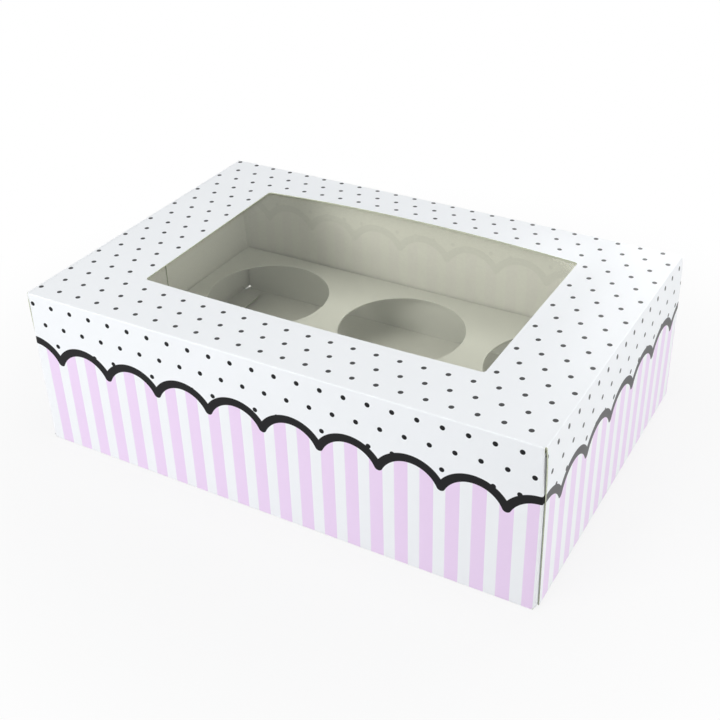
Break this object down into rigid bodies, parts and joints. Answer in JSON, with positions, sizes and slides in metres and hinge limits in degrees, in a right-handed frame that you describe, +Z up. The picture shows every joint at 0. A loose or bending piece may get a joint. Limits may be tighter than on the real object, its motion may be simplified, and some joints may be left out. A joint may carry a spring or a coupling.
{
  "type": "cupcake box",
  "caption": "Low tuck-end folding carton with a film window in its top and a folded tray with round holes inside; printed with dots, a scalloped line and stripes.",
  "frame": {"origin": "on the surface the box stands on, under the middle of the closed box", "axes": "+Z up, +X along the long side towards the end on the picture's right, -Y out of the long front wall that the picture shows"},
  "size_m": [0.2432, 0.163, 0.0806],
  "materials": {
    "printed_board": "white board with a satin coat, printed outside, bare inside",
    "clear_film": "clear glossy film",
    "tray_card": "uncoated white card"
  },
  "bodies": {
    "carton": {"carton_body": "printed_board", "window_film": "clear_film", "cupcake_tray": "tray_card"},
    "right_flap": {"end_flap_right": "printed_board"},
    "left_flap": {"end_flap_left": "printed_board"}
  },
  "joints": [
    {"name": "right_flap_hinge", "type": "hinge", "parent": "carton", "child": "right_flap", "pos_m": [0.12055, 0, 0.07735], "axis": [0, -1, 0], "range_deg": [0, 120]},
    {"name": "left_flap_hinge", "type": "hinge", "parent": "carton", "child": "left_flap", "pos_m": [-0.12055, 0, 0.07735], "axis": [0, 1, 0], "range_deg": [0, 120]}
  ]
}
